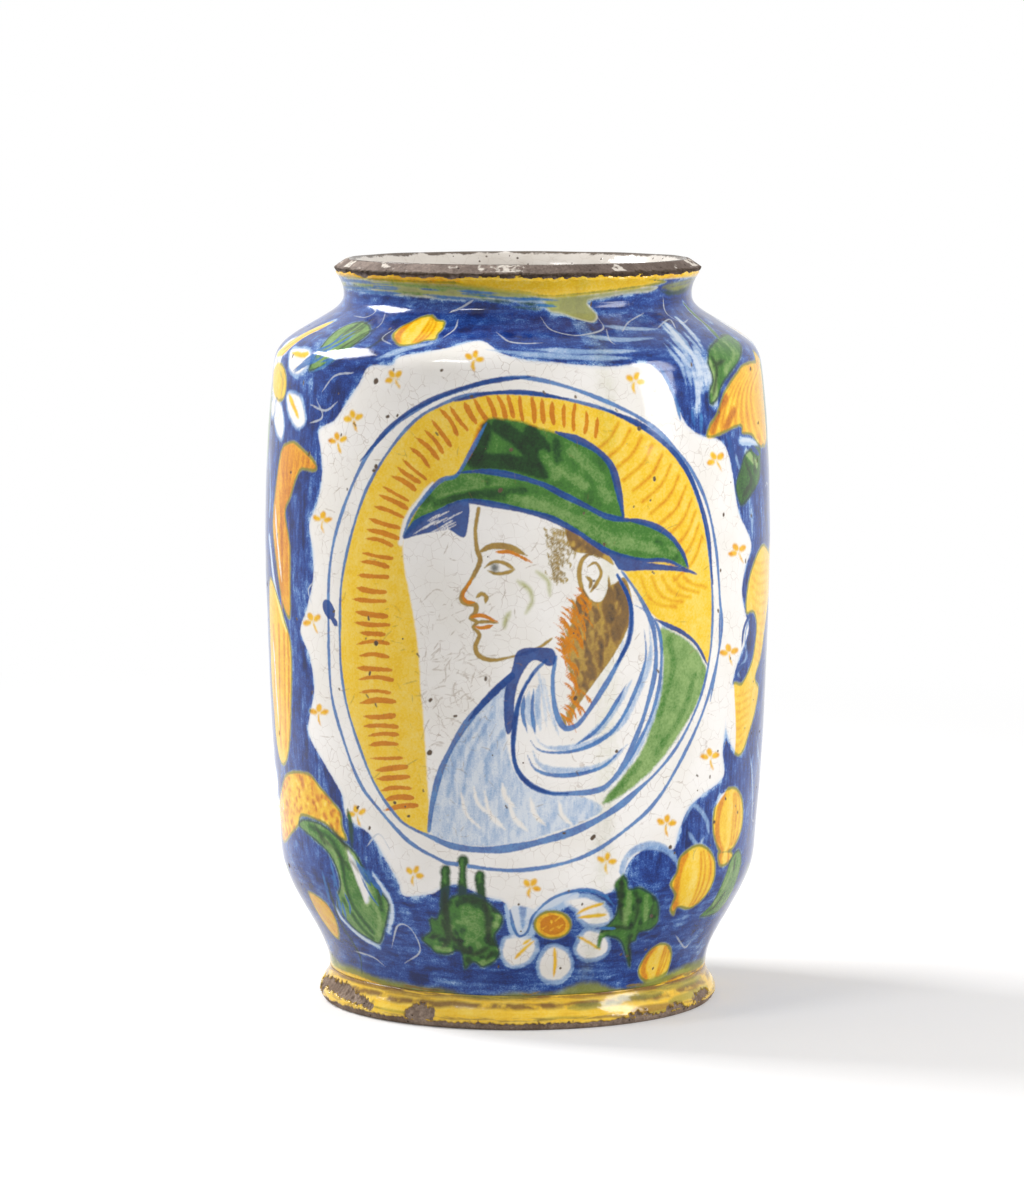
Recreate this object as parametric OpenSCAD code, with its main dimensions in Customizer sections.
// Albarello: a wheel-thrown, tin-glazed earthenware storage jar with a low neck and a turned foot.
// Millimetres, +Z up, origin at the centre of the plane it stands on, painted front towards -Y.
// The clay is made in six luted sections, and three coats of glaze cover it.

/* [Foot] */
// Radius of the clay foot at its widest
foot_r = 66; // [60:0.5:72]
// Height of the foot up to the waist, which is also the height of the clay floor inside
foot_h = 11; // [9:0.5:14]
// Radius of the worn, unglazed edge round the bottom of the foot
foot_round = 2; // [1:0.25:3]
// How far the waist above the foot is drawn in from the foot's widest place
waist_in = 3.5; // [2.5:0.25:6]
// How far the groove above the foot's roll is drawn in from the foot's widest place
groove_in = 2.2; // [1:0.1:2.4]
// Height of the waist above the groove
groove_drop = 3.5; // [2.5:0.25:4.5]
// Width of the ring that the jar stands on
ring_w = 11; // [8:0.5:14]
// Depth of the hollow turned out under the base
hollow_d = 3; // [1:0.5:5]

/* [Body] */
// Radius of the clay at the belly, its widest place
belly_r = 83.5; // [76:0.5:92]
// How far the heel, above the curve that rises from the foot, is drawn in from the belly
heel_in = 4.8; // [3:0.2:8]
// How far the shoulder's lower edge is drawn in from the belly
shoulder_in = 3.4; // [2:0.2:6]
// Height of the heel above the waist
heel_h = 39.5; // [32:0.5:48]
// Height of the belly's widest place above the heel
belly_h = 103; // [80:1:130]
// Height of the shoulder's lower edge above the belly's widest place
upper_h = 60; // [45:1:75]

/* [Neck and lip] */
// Radius of the clay at the narrowest part of the neck
neck_r = 57.3; // [50:0.25:63]
// Height of the neck's narrowest part above the shoulder's lower edge
shoulder_h = 21.5; // [18:0.5:26]
// How far the middle of the sloping shoulder stands out from the neck
slope_out = 9.5; // [7:0.25:12]
// How far the middle of the sloping shoulder lies below the neck's narrowest part
slope_drop = 9; // [7:0.25:11]
// How far the lip's sharp edge stands out from the neck
lip_out = 3.7; // [2:0.1:6]
// Height of the lip's sharp edge above the neck's narrowest part
lip_h = 9; // [7:0.5:12]
// Width of the bevel from the lip's sharp edge in to the rim
bevel_w = 4.5; // [3:0.25:6]
// Height of that bevel
bevel_h = 3; // [2:0.25:5]
// Length of the straight part of the mouth inside the neck
mouth_len = 10; // [6:0.5:11]

/* [Clay and glaze] */
// Thickness of the clay wall of the body and shoulder
wall_t = 5.5; // [4:0.25:7]
// Thickness of the clay at the neck's narrowest part
neck_t = 5.3; // [4:0.1:7]
// Thickness of each coat of glaze
glaze_t = 0.5; // [0.3:0.1:1]
// How far in from the waist the floor inside starts to curve up into the wall
floor_curve = 16.5; // [12:0.5:24]
// Height of bare clay left below the lip's sharp edge, outside
lip_bare = 2; // [1:0.25:3]

/* [Hidden] */

$fn = 180;
// Points taken along each curve of the outline
steps = 14;

clay_colour = "rosybrown";
painted_colour = "royalblue";
foot_colour = "goldenrod";
lining_colour = "ivory";

// Stations of the clay's outer face, each a radius and a height
foot_edge = [foot_r, foot_round];
groove = [foot_r - groove_in, foot_h - groove_drop];
waist = [foot_r - waist_in, foot_h];
heel = [belly_r - heel_in, waist[1] + heel_h];
belly = [belly_r, heel[1] + belly_h];
shoulder_edge = [belly_r - shoulder_in, belly[1] + upper_h];
neck = [neck_r, shoulder_edge[1] + shoulder_h];
slope = neck + [slope_out, -slope_drop];
lip_edge = neck + [lip_out, lip_h];
rim = lip_edge + [-bevel_w, bevel_h];
// The lip curls out as a parabola, and the outer glaze stops on it
bare_share = (lip_h - lip_bare) / lip_h;
glaze_end = neck + [lip_out * bare_share * bare_share, lip_h - lip_bare];

// Stations of the clay's inner face
hollow_r = foot_r - ring_w;
floor_edge = waist - [floor_curve, 0];
heel_inside = heel - [wall_t, 0];
belly_inside = belly - [wall_t, 0];
shoulder_inside = shoulder_edge - [wall_t, 0];
neck_inside = neck - [neck_t, 0];
mouth_below = 0.6 * mouth_len;
mouth_low = neck_inside - [0, mouth_below];
mouth_top = neck_inside + [0, mouth_len - mouth_below];

// Directions of the outline, in radius and height, at its stations
level = [1, 0];
upright = [0, 1];
groove_lean = [-0.55, 0.84];
heel_lean = [0.1, 1];
shoulder_lean = [-0.15, 1];
slope_lean = [-0.86, 0.51];
lip_lean = [lip_out * bare_share * 2, lip_h];
rim_lean = [0.7, 0.71];

// A curve leaves p along its direction a and arrives at q along b. ha and hb are the shares of the
// distance between them that its two handles take. Each entry is a point and its direction. The end
// q is left out, because the next stretch of the outline starts there.
function curve(p, a, ha, q, b, hb) =
    let (
        d = norm(q - p),
        c = p + a / norm(a) * ha * d,
        e = q - b / norm(b) * hb * d
    )
    [for (i = [0 : steps - 1])
        let (t = i / steps, u = 1 - t)
        [
            u * u * u * p + 3 * u * u * t * c + 3 * u * t * t * e + t * t * t * q,
            u * u * (c - p) + 2 * u * t * (e - c) + t * t * (q - e)
        ]
    ];

// The last entry of a path: a point and its direction
function stop(p, a) = [[p, a]];

// The points of a path, moved sideways by d, to the right of its direction
function beside(path, d = 0) =
    [for (s = path) let (a = s[1] / norm(s[1])) s[0] + d * [a[1], -a[0]]];

function backwards(list) = [for (i = [len(list) - 1 : -1 : 0]) list[i]];

// The clay's outer face, from the foot's edge up to the lip, in stretches that meet at the stations
foot_face = concat(
    curve(foot_edge, upright, 0.45, groove, groove_lean, 0.3),
    curve(groove, groove_lean, 0.3, waist, upright, 0.4)
);
heel_face = curve(waist, upright, 0.28, heel, heel_lean, 0.33);
wall_face = concat(
    curve(heel, heel_lean, 0.24, belly, upright, 0.25),
    curve(belly, upright, 0.4, shoulder_edge, shoulder_lean, 0.24)
);
shoulder_face = concat(
    curve(shoulder_edge, shoulder_lean, 0.33, slope, slope_lean, 0.45),
    curve(slope, slope_lean, 0.46, neck, upright, 0.3)
);
neck_face = curve(neck, upright, 0.4, glaze_end, lip_lean, 0.3);

// The clay's inner face, from the floor up to the rim
heel_lining = curve(floor_edge, level, 0.17, heel_inside, heel_lean, 0.36);
wall_lining = concat(
    curve(heel_inside, heel_lean, 0.24, belly_inside, upright, 0.25),
    curve(belly_inside, upright, 0.4, shoulder_inside, shoulder_lean, 0.24)
);
shoulder_lining = concat(
    curve(shoulder_inside, shoulder_lean, 0.16, mouth_low, upright, 0.26),
    stop(mouth_low, upright)
);
neck_lining = curve(mouth_top, upright, 0.35, rim, rim_lean, 0.3);

// A ring between an outer and an inner line of points, both going up
module ring(outer, inner) {
    rotate_extrude() polygon(concat(outer, backwards(inner)));
}

// A coat of glaze on a path of the clay's outer face
module coat(path) {
    ring(beside(path, glaze_t), beside(path));
}

module base_disc() {
    color(clay_colour)
        translate([0, 0, hollow_d]) cylinder(r = hollow_r, h = foot_h - hollow_d);
}

module foot_ring() {
    worn_edge = [for (i = [0 : steps - 1])
        let (turn = -90 + 90 * i / steps)
        foot_edge + foot_round * [cos(turn) - 1, sin(turn)]
    ];
    color(clay_colour)
        ring(
            concat(worn_edge, beside(foot_face), [waist]),
            [[hollow_r, 0], [hollow_r, foot_h]]
        );
}

// The lower wall that flares from the foot to the heel
module heel_wall() {
    color(clay_colour)
        ring(
            concat(beside(heel_face), [heel]),
            concat(beside(heel_lining), [heel_inside])
        );
}

module body_wall() {
    color(clay_colour)
        ring(
            concat(beside(wall_face), [shoulder_edge]),
            concat(beside(wall_lining), [shoulder_inside])
        );
}

module shoulder() {
    color(clay_colour)
        ring(
            concat(beside(shoulder_face), [neck]),
            concat(beside(shoulder_lining), [neck_inside])
        );
}

module neck_and_lip() {
    color(clay_colour)
        ring(
            concat(beside(neck_face), [glaze_end, lip_edge]),
            concat([neck_inside], beside(neck_lining), [rim])
        );
}

module outer_glaze() {
    color(painted_colour)
        coat(concat(heel_face, wall_face, shoulder_face, neck_face, stop(glaze_end, lip_lean)));
}

module foot_glaze() {
    color(foot_colour) coat(concat(foot_face, stop(waist, upright)));
}

// The lining runs from the floor's centre to just below the bare rim
module inner_glaze() {
    face = concat(heel_lining, wall_lining, shoulder_lining, neck_lining);
    color(lining_colour)
        ring(
            concat([[0, foot_h]], beside(face)),
            concat([[0, foot_h + glaze_t]], beside(face, -glaze_t))
        );
}

base_disc();
foot_ring();
heel_wall();
body_wall();
shoulder();
neck_and_lip();
outer_glaze();
foot_glaze();
inner_glaze();
